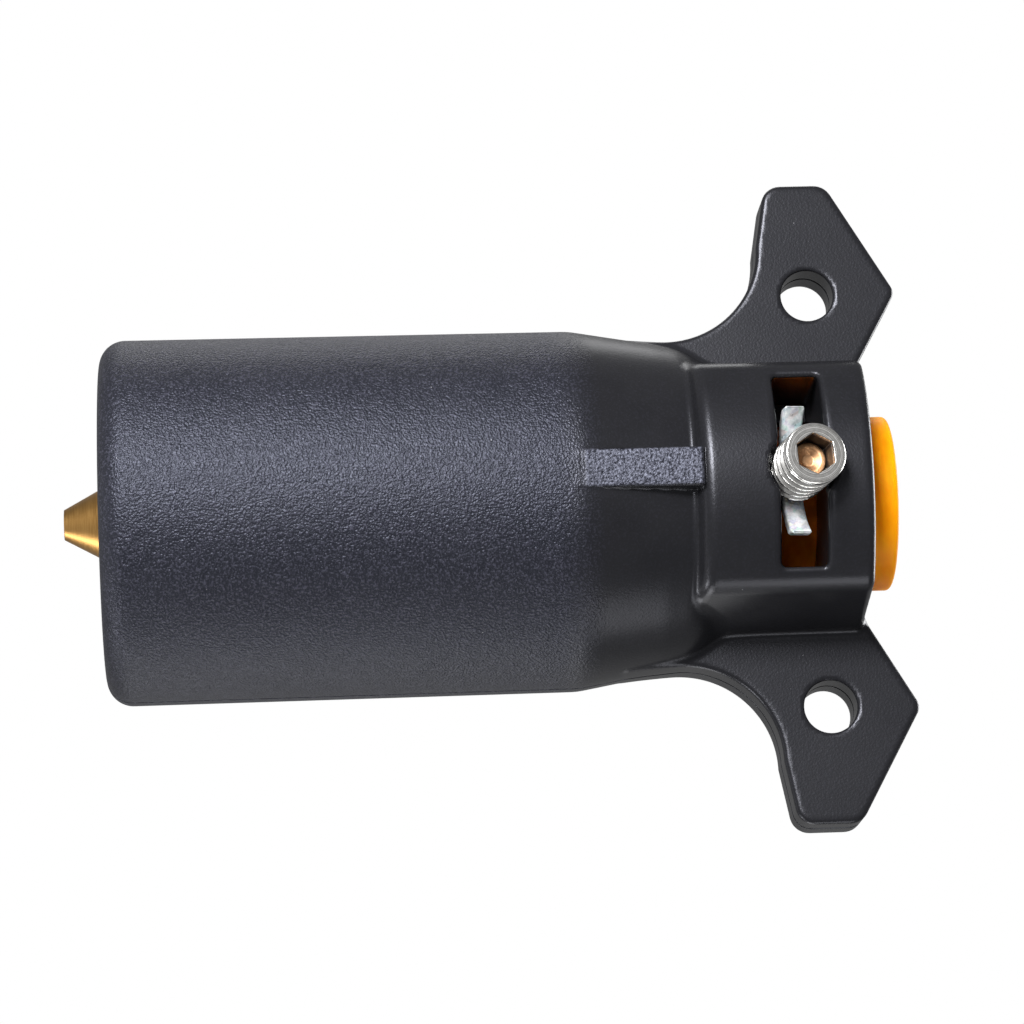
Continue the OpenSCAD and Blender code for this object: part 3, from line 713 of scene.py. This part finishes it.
def make_tip():
    def field(u, v, w):
        q = np.hypot(u, v)
        head = rmax(q - 1.7, slab(w, SOCKET_DEPTH - 0.6, SOCKET_DEPTH - 0.04), 0.1)
        dimple = (q - 1.25) * 0.5 + (w - SOCKET_DEPTH + 0.6) * 0.86
        head = np.maximum(head, -dimple)
        stem = np.maximum(q - 1.2, slab(w, SOCKET_DEPTH - 0.2, SCREW_L + 0.3))
        pad = rmax(q - 1.6, slab(w, SCREW_L + 0.05, SCREW_L + 0.95), 0.15)
        return np.minimum(np.minimum(head, stem), pad)

    us = axis_steps((-2.4, 2.4, 0.12))
    ws = axis_steps((SOCKET_DEPTH - 0.8, SOCKET_DEPTH + 0.3, 0.06), (SOCKET_DEPTH + 0.3, SCREW_L - 0.2, 0.5),
                    (SCREW_L - 0.2, SCREW_L + 1.3, 0.12))
    piece = finish_with(screw_mesh("brass_tip", field, us, us.copy(), ws), "tip_brass")
    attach(piece, "pressure_tip")
    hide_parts("pressure_tip")


def make_bar():
    def field(u, v, w):
        bow = np.hypot(u, w - BOW_DEPTH)
        strip = rmax(np.abs(v) - BAR_HALF[1], np.maximum(bow - BOW_R - BOW_T, BOW_R - bow), 0.22)
        strip = np.maximum(rmax(strip, np.abs(u) - BAR_HALF[0], 0.3), BOW_DEPTH - w)
        foot = rmax(np.hypot(u, v) - 2.1, slab(w, FOOT_TOP, FOOT_END), 0.2)
        return np.minimum(strip, foot)

    us = axis_steps((-6.7, 6.7, 0.12))
    vs = axis_steps((-2.3, 2.3, 0.12))
    ws = axis_steps((6.0, 10.6, 0.11), (10.6, 14.4, 0.4), (14.4, 15.2, 0.12))
    piece = finish_with(screw_mesh("zinc_bar", field, us, vs, ws), "zinc_plated_steel")
    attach(piece, "housing")
    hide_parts("clamp_bar")


def dress_cad():
    """Materials for the CAD nodes that stay as they are."""
    slots = {s["node"]: s["material_slot"] for s in frame["record"]["subparts"]}
    for node, obj in frame["nodes"].items():
        obj.data.materials.clear()
        obj.data.materials.append(MATS[slots[node]])


# ---- floor, light and camera ----------------------------------------------------------------
# Sphere of the lights around the part and the height they aim at, in millimetres
LIGHT_RING = 420.0
LIGHT_AIM = -35.0


def make_floor():
    n = Nodes("floor_paper")
    n.set(Base_Color=n.ramp(n.noise(0.02, 3), (0.3, (0.8, 0.8, 0.8)), (0.7, (0.84, 0.84, 0.84))), Roughness=0.9)
    n.bump(n.noise(0.8, 4, 0.6), 0.05, 0.1)
    r, z, sides = 85.0, NOZZLE_LO[2] - 150, 96
    turn = np.arange(sides) * 2 * math.pi / sides
    ring = np.stack([r * np.cos(turn), r * np.sin(turn), np.full(sides, z)], axis=1)
    mesh = bpy.data.meshes.new("floor")
    mesh.from_pydata((ring * MM).tolist(), [], [list(range(sides))])
    floor = bpy.data.objects.new("floor", mesh)
    bpy.context.scene.collection.objects.link(floor)
    mesh.materials.append(n.mat)


def studio_light(name, turn, rise, power, width, length):
    """A soft rectangular light on a sphere around the part, by its angles from the front, in degrees."""
    centre = Vector((0, 0, LIGHT_AIM))
    turn, rise = math.radians(turn), math.radians(rise)
    away = Vector((-math.cos(rise) * math.sin(turn), -math.cos(rise) * math.cos(turn), math.sin(rise)))
    data = bpy.data.lights.new(name, "AREA")
    data.shape = "RECTANGLE"
    data.size, data.size_y = width * MM, length * MM
    data.energy = power
    across = Vector((0, 0, 1)).cross(away).normalized()
    obj = bpy.data.objects.new(name, data)
    obj.location = (centre + away * LIGHT_RING) * MM
    obj.rotation_mode = "QUATERNION"
    obj.rotation_quaternion = Matrix((across, away.cross(across), away)).transposed().to_quaternion()
    bpy.context.scene.collection.objects.link(obj)


def make_light():
    bpy.context.scene.view_settings.view_transform = "Standard"
    world = bpy.data.worlds.new("studio")
    bpy.context.scene.world = world
    world.use_nodes = True
    nodes, links = world.node_tree.nodes, world.node_tree.links
    back = nodes["Background"]
    back.inputs["Color"].default_value = (1, 1, 1, 1)
    soft = nodes.new("ShaderNodeBackground")
    soft.inputs["Color"].default_value = (1, 1, 1, 1)
    soft.inputs["Strength"].default_value = 0.3
    path = nodes.new("ShaderNodeLightPath")
    mix = nodes.new("ShaderNodeMixShader")
    links.new(path.outputs["Is Camera Ray"], mix.inputs[0])
    links.new(soft.outputs[0], mix.inputs[1])
    links.new(back.outputs[0], mix.inputs[2])
    links.new(mix.outputs[0], nodes["World Output"].inputs["Surface"])
    studio_light("key", 22, -12.7, 3.6, 100, 120)
    studio_light("key_end", 38, -18.4, 0.9, 100, 90)
    studio_light("front", 5, -11.4, 0.6, 100, 100)
    studio_light("under", -110, -6.8, 0.6, 200, 150)
    studio_light("under_rear", -85, 14.7, 0.36, 200, 120)
    studio_light("back", -135, -2.7, 0.12, 150, 200)
    studio_light("rim", 126, 0, 0.2, 120, 250)
    studio_light("crown", 165, 60, 1.5, 220, 220)
    studio_light("nozzle_under", -98, -44, 0.75, 130, 120)


def make_camera():
    """The photograph's viewpoint: level with the body, nozzle to the left, 420 mm away."""
    at = Vector((98.71, -408.12, -56.43)) * MM
    ahead = Vector((-0.23499, 0.97005, 0.06148)).normalized()
    up = Vector((-0.97117, -0.23693, 0.02635))
    right = ahead.cross(up).normalized()
    up = right.cross(ahead)
    cam = bpy.data.cameras.new("camera")
    cam.lens, cam.sensor_width = 147.66, 36
    cam.clip_start, cam.clip_end = 0.01, 10
    obj = bpy.data.objects.new("camera", cam)
    obj.matrix_world = Matrix((
        (right.x, up.x, -ahead.x, at.x), (right.y, up.y, -ahead.y, at.y), (right.z, up.z, -ahead.z, at.z), (0, 0, 0, 1)))
    bpy.context.scene.collection.objects.link(obj)
    bpy.context.scene.camera = obj


dress_cad()
make_shells()
make_core()
make_nozzle()
make_screw()
make_tip()
make_bar()
make_floor()
make_light()
make_camera()
